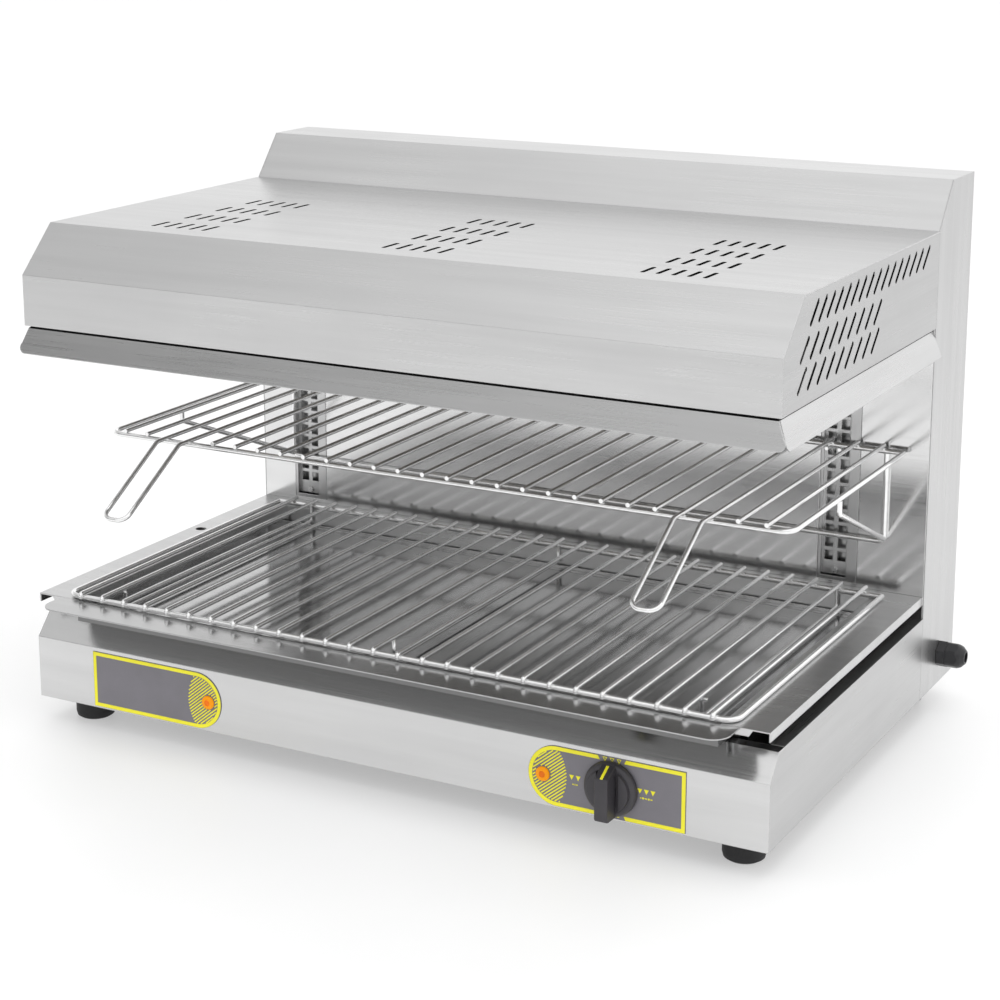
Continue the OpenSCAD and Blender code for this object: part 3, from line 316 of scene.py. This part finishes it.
wearing = {
    steel_face_lit: ["base_front"],
    steel_hood: ["hood_shell"],
    steel_hood_side_shaded: ["hood_side_left", "hood_side_right"],
    steel_lengthwise: ["deck", "column_cap", "rear_cover"],
    steel_visor: ["visor"],
    steel_side_shaded: ["base_side_left", "base_side_right"],
    steel_upright: ["column_side_left", "column_side_right", "rack_left", "rack_right"],
    steel_back_wall_lit: ["back_wall"],
    steel_tray_shaded: ["drip_tray"],
    sheet_dark_for_shade: ["base_floor", "side_frame_left", "side_frame_right", "runner_left", "runner_right"],
    sheet_heated: ["reflector", "element_hangers"],
    chrome: [
        "lower_frame", "lower_bed", "upper_frame", "upper_bed", "handle_left", "handle_right",
        "upper_bracket",
    ],
    screw_zinc: ["foot_screws", "rear_cover_screws", "rack_screws", "switch_shaft"],
    tube_oxidised: ["element_front", "element_rear"],
    brass: ["terminal_screws"],
    plate_grey: ["plate_left", "plate_right"],
    mark_yellow: ["knob_pointer"],
    knob_black: ["knob"],
    gland_black: ["gland_body", "gland_nut", "gland_locknut"],
    rubber: ["foot_front_left", "foot_front_right", "foot_rear_left", "foot_rear_right", "gland_seal"],
    pale: [
        "element_insulators", "lamp_body_left", "lamp_body_right", "switch_body", "terminal_block",
    ],
    sleeve: ["lamp_leads", "base_loom", "hood_loom"],
    wool_dark_for_shade: ["blanket"],
    lens: ["lamp_lens_left", "lamp_lens_right"],
}
for material, names in wearing.items():
    for name in names:
        mesh = nodes[name].data
        mesh.materials.clear()
        mesh.materials.append(material)


# ---------------------------------------------------------------- making pieces


def show(name, bm, *materials):
    """Makes an object of the mesh."""
    mesh = bpy.data.meshes.new(name)
    bm.to_mesh(mesh)
    bm.free()
    for m in materials:
        mesh.materials.append(m)
    obj = bpy.data.objects.new(name, mesh)
    bpy.context.scene.collection.objects.link(obj)
    return obj


def piece(name, bm, materials, body, bevel=0.0, smooth=True, replaces=()):
    """Makes a piece that rides on its body, with the materials given."""
    bmesh.ops.recalc_face_normals(bm, faces=bm.faces)
    obj = show(name, bm, *materials)
    if smooth:
        obj.data.shade_smooth()
    if bevel:
        edge = obj.modifiers.new("edges", "BEVEL")
        edge.width = bevel
        edge.segments = 3
        edge.angle_limit = math.radians(35)
        edge.harden_normals = True
    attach(obj, body)
    if replaces:
        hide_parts(*replaces)


def walls(bm, a, b, closed=True):
    """Faces between two rings of vertices of the same length."""
    for i in range(len(a) if closed else len(a) - 1):
        j = (i + 1) % len(a)
        bm.faces.new((a[i], a[j], b[j], b[i]))


def solid(bm, first, second):
    """A closed solid between two rings of points of the same length."""
    a, b = [[bm.verts.new(p) for p in ring] for ring in (first, second)]
    walls(bm, a, b)
    bm.faces.new(a[::-1])
    bm.faces.new(b)


def prism(bm, outline, low, high, place):
    """A closed prism over an outline; place(u, v, w) gives the point."""
    solid(bm, *[[place(u, v, w) for u, v in outline] for w in (low, high)])


def band(bm, outer, inner, low, high, place, closed=True):
    """A flat band between two outlines of the same length."""
    rings = [
        [bm.verts.new(place(u, v, w)) for u, v in line]
        for line, w in ((outer, low), (outer, high), (inner, high), (inner, low))
    ]
    for a, b in zip(rings, rings[1:] + rings[:1]):
        walls(bm, a, b, closed)
    if not closed:
        for i in (0, -1):
            bm.faces.new([ring[i] for ring in rings])


def turned(bm, profile, place, steps=96):
    """Turns a profile of (radius, height) about the middle; it starts and ends at radius 0."""
    turn = [2 * math.pi * i / steps for i in range(steps)]
    rings = []
    for r, w in profile:
        points = [(r * math.cos(a), r * math.sin(a)) for a in turn] if r else [(0, 0)]
        rings.append([bm.verts.new(place(u, v, w)) for u, v in points])
    for a, b in zip(rings, rings[1:]):
        for i in range(steps):
            j = (i + 1) % steps
            corners = [a[i % len(a)], a[j % len(a)], b[j % len(b)], b[i % len(b)]]
            bm.faces.new(list(dict.fromkeys(corners)))


# ---------------------------------------------------------------- control plates

plate_low, plate_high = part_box("plate_right")
PLATE_Z = 500 * (plate_low.z + plate_high.z)  # the middle of both plates, in mm
PLATE_W, PLATE_H, PLATE_T = 156.0, 58.0, 0.8
PLATE_R = PLATE_H / 2
PLATES = {"left": (PLATE_W - 330.0, -1), "right": (322.0 - PLATE_W, 1)}  # round end, and which way u runs
LAMP_U = 15.0
KNOB_X = 250.0

LINE_OUT, LINE_IN = 0.25, 4.0  # how far in the border's two edges lie
LINE_T, MARK_T, HATCH_T = 0.14, 0.12, 0.1  # how far the printed marks stand out
GAP, GAP_SLANT = 12, 2  # half the border's gap over and under the knob, and the slant of its ends


def on_face(origin, side):
    """Points on the base's face: u from the plate's round end, v up, w out of the plate."""
    return lambda u, v, w: at(origin + side * u, -PLATE_T - w, PLATE_Z + v)


def plate_line(inset, steps=40):
    """The plate's outline, drawn inwards by inset, from the middle of its square end."""
    r = PLATE_R - inset
    far = PLATE_W - inset
    turn = [math.pi / 2 + math.pi * i / steps for i in range(steps + 1)]
    arc = [(PLATE_R + r * math.cos(a), r * math.sin(a)) for a in turn]
    return [(far, 0.0), (far, r)] + arc + [(far, -r)]


def border(bm, place, knob_u=None):
    """The line round a plate; where there is a knob, it stops on both sides of the marks."""
    outer, inner = plate_line(LINE_OUT), plate_line(LINE_IN)
    if knob_u is None:
        band(bm, outer, inner, 0.0, LINE_T, place)
        return
    near, far = knob_u - GAP, knob_u + GAP
    top_out, top_in = PLATE_R - LINE_OUT, PLATE_R - LINE_IN
    for up in (1, -1):
        square = [outer[0], (outer[0][0], top_out * up), (far + GAP_SLANT, top_out * up)]
        within = [inner[0], (inner[0][0], top_in * up), (far, top_in * up)]
        band(bm, square, within, 0.0, LINE_T, place, closed=False)
    arc_out = [(near - GAP_SLANT, top_out)] + outer[2:-1] + [(near - GAP_SLANT, -top_out)]
    arc_in = [(near, top_in)] + inner[2:-1] + [(near, -top_in)]
    band(bm, arc_out, arc_in, 0.0, LINE_T, place, closed=False)


HATCH_INSET, LAMP_CLEAR = 4.4, 7.8
HATCH_MIDDLE, HATCH_REACH = -6, 45  # the hatching ends in an arc about this point, with this radius


def hatched(u, v):
    """True where the hatching shows: in the round end, and clear of the lamp."""
    r = PLATE_R - HATCH_INSET
    inside = abs(v) < r if u > PLATE_R else math.hypot(u - PLATE_R, v) < r
    return (
        inside
        and math.hypot(u - HATCH_MIDDLE, v) < HATCH_REACH
        and math.hypot(u - LAMP_U, v) > LAMP_CLEAR
    )


def hatching(bm, place, side):
    """Slanting strokes, cut off where hatched() is false; they lean the same way on both plates."""
    pitch, half, step, shortest = 2.6, 0.62, 0.25, 1
    rows, steps = 26, 260
    lean = math.radians(39)
    middle = Vector((20, 0))
    along = Vector((math.cos(lean), math.sin(lean) * side))
    across = Vector((math.sin(lean) * side, -math.cos(lean)))
    for k in range(-rows, rows + 1):
        start = None
        for i in range(-steps, steps + 1):
            p = middle + across * (k * pitch) + along * (i * step)
            good = hatched(p.x, p.y)
            if good and start is None:
                start = p
            if start is not None and not good:
                end = p - along * step
                if (end - start).length > shortest:
                    corners = [start - across * half, end - across * half]
                    corners += [end + across * half, start + across * half]
                    prism(bm, [(c.x, c.y) for c in corners], 0.0, HATCH_T, place)
                start = None


def triangle(bm, place, u, v, size, hollow=False):
    """A triangle that points down."""
    outer = [(u - size / 2, v + size / 2), (u + size / 2, v + size / 2), (u, v - size / 2)]
    if hollow:
        hole = 0.52
        mid = v + size / 6
        inner = [(u + (a - u) * hole, mid + (b - mid) * hole) for a, b in outer]
        band(bm, outer, inner, 0.0, MARK_T, place)
    else:
        prism(bm, outer, 0.0, MARK_T, place)


def dashes(bm, place, u, v, widths):
    """A row of small generic dashes."""
    space, low, high = 0.7, 0.55, 0.8
    left = u - (sum(widths) + space * (len(widths) - 1)) / 2
    for i, w in enumerate(widths):
        half = high if i % 2 else low
        right = left + w
        outline = [(left, v - half), (right, v - half), (right, v + half), (left, v + half)]
        prism(bm, outline, 0.0, HATCH_T, place)
        left = right + space


def dial_marks(bm, place, u):
    """Plain triangles and dashes over, beside and under the knob."""
    for i in (-1, 0, 1):
        triangle(bm, place, u + 7 * i, 26.2, 4.6, hollow=True)
    for i in (0, 1):
        triangle(bm, place, u - 40 + 6.6 * i, 2.0, 4.8)
    dashes(bm, place, u - 36.5, -4.4, (1.6, 0.8, 1.6))
    for i in (-1, 0, 1):
        triangle(bm, place, u + 34 + 6.4 * i, 2.6, 4.8)
    dashes(bm, place, u + 34, -3.6, (1.2, 2.2, 2.2, 1.8, 2.0))
    dashes(bm, place, u + 4, -26.6, (1.4, 2.4, 2.6))


LENS_PROFILE = [
    (0, 0.02), (6.9, 0.02), (7.0, 0.3), (6.9, 1.3), (6.4, 1.9), (5.7, 2.1), (5.1, 1.8), (4.7, 2.0),
    (3.6, 2.5), (3.2, 2.6), (3.0, 2.35), (2.2, 2.5), (1.2, 2.7), (0, 2.9),
]
CORE_R, CORE_FRONT = 0.0033, 0.002  # the lens's darker core, in metres


def lamp(bm, place):
    turned(bm, LENS_PROFILE, lambda u, v, w: place(LAMP_U + u, v, w))
    middle = place(LAMP_U, 0, 0)
    for face in bm.faces:
        off = face.calc_center_median() - middle
        face.material_index = int(math.hypot(off.x, off.z) < CORE_R and -off.y > CORE_FRONT)


for name, (origin, side) in PLATES.items():
    place = on_face(origin, side)
    bm = bmesh.new()
    if name == "right":
        border(bm, place, KNOB_X - origin)
        hatching(bm, place, side)
        dial_marks(bm, place, KNOB_X - origin)
    else:
        border(bm, place)
        hatching(bm, place, side)
    piece("plate_marks_" + name, bm, [mark_yellow], "cabinet", smooth=False)

    bm = bmesh.new()
    lamp(bm, place)
    piece(
        "lamp_" + name, bm, [lens, lens_core], "cabinet",
        replaces=("lamp_lens_" + name,),
    )

# ---------------------------------------------------------------- knob

KNOB_Y = -1.6  # the back of the skirt
KNOB_R = 26.0
GRIP, FRONT = 6.5, 22.5  # half the grip's width, and its height over the back of the skirt
POINTER_LOW, POINTER_HIGH = (24.3, 7.0), (16.2, 21.9)  # the grip's sloping end, which has the line


def on_knob(u, v, w):
    """Points on the knob: u to the right and v up from its middle, w out of the skirt's back."""
    return at(KNOB_X + u, KNOB_Y - w, PLATE_Z + v)


bm = bmesh.new()
SKIRT_PROFILE = [
    (0, 0.0), (25.6, 0.0), (KNOB_R, 0.5), (KNOB_R, 2.4), (25.8, 3.3), (25.2, 4.5), (24.2, 5.6),
    (22.8, 6.3), (21.6, 6.5), (18, 6.3), (10, 5.6), (0, 5.4),
]
turned(bm, SKIRT_PROFILE, on_knob)
piece("knob_skirt", bm, [knob_black], "selector", replaces=("knob",))

# The shoulders are two low sectors beside the grip, drawn in a little at the top.
bm = bmesh.new()
SHOULDER_R, SHOULDER_LOW, SHOULDER_HIGH = 20.8, 5.0, 9.4
sector = [math.radians(a) for a in range(-60, 61, 4)]
foot = [(SHOULDER_R * math.cos(a), SHOULDER_R * math.sin(a)) for a in sector]
top = [(0.97 * u, 0.96 * v) for u, v in foot]
for end in (0, -1):
    top[end] = (top[end][0] + 0.7, top[end][1])
for side in (-1, 1):
    solid(
        bm,
        [on_knob(side * u, v, SHOULDER_LOW) for u, v in foot],
        [on_knob(side * u, v, SHOULDER_HIGH) for u, v in top],
    )
piece("knob_shoulders", bm, [knob_black], "selector", bevel=0.0009)

# The grip is a bar across the knob, a tenth wider at its foot.
bm = bmesh.new()
SIDE_VIEW = [
    (-25.2, 2.0), (-25.2, 18.5), (-24.2, 21.6), (-22.0, FRONT), (14.6, FRONT), POINTER_HIGH,
    POINTER_LOW, (24.3, 2.0),
]
solid(
    bm,
    *[[on_knob(u * (1.1 - 0.1 * w / FRONT), v, w) for v, w in SIDE_VIEW] for u in (-GRIP, GRIP)],
)
piece("knob_grip", bm, [knob_black], "selector", bevel=0.0012)

# The line is a thin bar let into the grip's sloping end.
bm = bmesh.new()
LINE_START, LINE_END, LINE_SINK, LINE_RISE, LINE_HALF = 0.6, 16.4, -0.4, 0.35, 1.35
slope = (Vector(POINTER_HIGH) - Vector(POINTER_LOW)).normalized()
out = Vector((slope.y, -slope.x))
section = [
    Vector(POINTER_LOW) + slope * along + out * lift
    for along, lift in (
        (LINE_START, LINE_SINK), (LINE_START, LINE_RISE), (LINE_END, LINE_RISE), (LINE_END, LINE_SINK),
    )
]
solid(bm, *[[on_knob(u, p.x, p.y) for p in section] for u in (-LINE_HALF, LINE_HALF)])
piece(
    "knob_line", bm, [mark_yellow], "selector", bevel=0.0003,
    replaces=("knob_pointer",),
)

# ---------------------------------------------------------------- the lower grid's middle leg


def rounded(points, r, steps=6):
    """The points of a path in a plane, with an arc of radius r at each square corner."""
    path = [points[0]]
    for before, corner, after in zip(points, points[1:], points[2:]):
        back, on = (before - corner).normalized(), (after - corner).normalized()
        for i in range(steps + 1):
            a = math.pi / 2 * i / steps
            path.append(corner + (back + on) * r - back * r * math.sin(a) - on * r * math.cos(a))
    return path + [points[-1]]


def tube(bm, path, r, sides=16):
    """A round tube along a path in the plane of y and z."""
    turn = [2 * math.pi * k / sides for k in range(sides)]
    rings = []
    for i, p in enumerate(path):
        ahead = (path[min(i + 1, len(path) - 1)] - path[max(i - 1, 0)]).normalized()
        out = Vector((0, -ahead.z, ahead.y))
        points = [p + Vector((r * math.cos(a), 0, 0)) + out * r * math.sin(a) for a in turn]
        rings.append([bm.verts.new(point) for point in points])
    for a, b in zip(rings, rings[1:]):
        walls(bm, a, b)
    bm.faces.new(rings[0][::-1])
    bm.faces.new(rings[-1])


LEG_R, LEG_BEND = 0.002, 0.003
BEHIND_FRONT, BEFORE_REAR = 0.0367, 0.0072  # from the grid's front and rear to the uprights
BED_WIRE, REAR_WIRE = 0.0045, 0.003  # what the uprights end under
grid_low, grid_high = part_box("lower_frame")
front, rear = grid_low.y + BEHIND_FRONT, grid_high.y - BEFORE_REAR
foot, top = grid_low.z + LEG_R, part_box("lower_bed")[1].z - BED_WIRE
middle = at(0, 0, 0).x
corners = [(front, top), (front, foot), (rear, foot), (rear, top - REAR_WIRE)]
bm = bmesh.new()
tube(bm, rounded([Vector((middle, y, z)) for y, z in corners], LEG_BEND), LEG_R)
piece("lower_leg_middle", bm, [chrome], "lower_grid")

# ---------------------------------------------------------------- floor, light and camera

FLOOR = 12.0  # half its side
bm = bmesh.new()
corners = ((-FLOOR, -FLOOR, 0), (FLOOR, -FLOOR, 0), (FLOOR, FLOOR, 0), (-FLOOR, FLOOR, 0))
bm.faces.new([bm.verts.new(p) for p in corners])
s = Shader("floor_pale", Roughness=0.5, Emission_Color=grey(1.0), Emission_Strength=0.4)
s.put(s.bsdf, Base_Color=s.mix(s.span(s.noise(3, detail=4), 0, 1), grey(0.5), grey(0.53)))
floor = show("floor", bm, s.mat)

# The studio is white to the camera. What the steel sees is bright behind and above, and darker
# in front and on the left.
world = bpy.data.worlds.new("studio")
bpy.context.scene.world = world
world.use_nodes = True
studio = Nodes(world.node_tree)
studio.tree.nodes.clear()


def ramp(value, start, end, low, high):
    return studio.span(value, low, high, start, end, "SMOOTHSTEP")


toward = studio.parts(studio.add("ShaderNodeTexCoord").outputs["Generated"])
in_front = ramp(toward["X"], -0.75, -0.25, 0.14, 0.7)
level = ramp(toward["Y"], -0.75, 0.35, in_front, 1.15)
above = ramp(toward["X"], -0.8, -0.25, 0.6, 1.14)
soft = studio.add("ShaderNodeBackground", Color=ramp(toward["Z"], 0.16, 0.6, level, above))
white = studio.add("ShaderNodeBackground", Color=(1, 1, 1, 1))
seen = studio.add("ShaderNodeLightPath").outputs["Is Camera Ray"]
pick = studio.put_at(
    studio.add("ShaderNodeMixShader"), {0: seen, 1: soft.outputs[0], 2: white.outputs[0]},
)
studio.add("ShaderNodeOutputWorld", Surface=pick.outputs[0])


def softbox(name, place, target, size, watts):
    light = bpy.data.lights.new(name, "AREA")
    light.shape = "RECTANGLE"
    light.size, light.size_y = size
    light.energy = watts
    obj = bpy.data.objects.new(name, light)
    bpy.context.scene.collection.objects.link(obj)
    obj.location = place
    obj.rotation_euler = (Vector(target) - Vector(place)).to_track_quat("-Z", "Y").to_euler()
    obj.visible_glossy = False


softbox("top_box", (0.2, -0.4, 2.8), (0, 0, 0.2), (3.0, 2.4), 26)
softbox("left_box", (-2.4, -1.6, 1.5), (0, 0, 0.3), (1.6, 1.4), 10)
softbox("right_box", (2.6, -0.6, 1.3), (0.2, 0, 0.3), (1.4, 1.6), 10)

# The photograph's verticals are parallel. A small shift and a slight tilt stand in for the large
# shift that this would take, and RAISE makes up for the difference.
SENSOR, FRAME, FOCAL = 36, 1000, 2265.3  # millimetres, pixels, pixels
EYE, RAISE = (1058.4, -1709.3, 846.4), 27
SHIFT, TILT, TURN = -0.12, 13.157, 28.347
camera = bpy.data.cameras.new("camera")
camera.sensor_width = SENSOR
camera.lens = FOCAL * SENSOR / FRAME
camera.shift_y = SHIFT
eye = bpy.data.objects.new("camera", camera)
bpy.context.scene.collection.objects.link(eye)
eye.location = at(EYE[0], EYE[1], EYE[2] + RAISE)
eye.rotation_euler = (math.radians(90 - TILT), 0, math.radians(TURN))
bpy.context.scene.camera = eye

bpy.context.scene.view_settings.view_transform = "Standard"
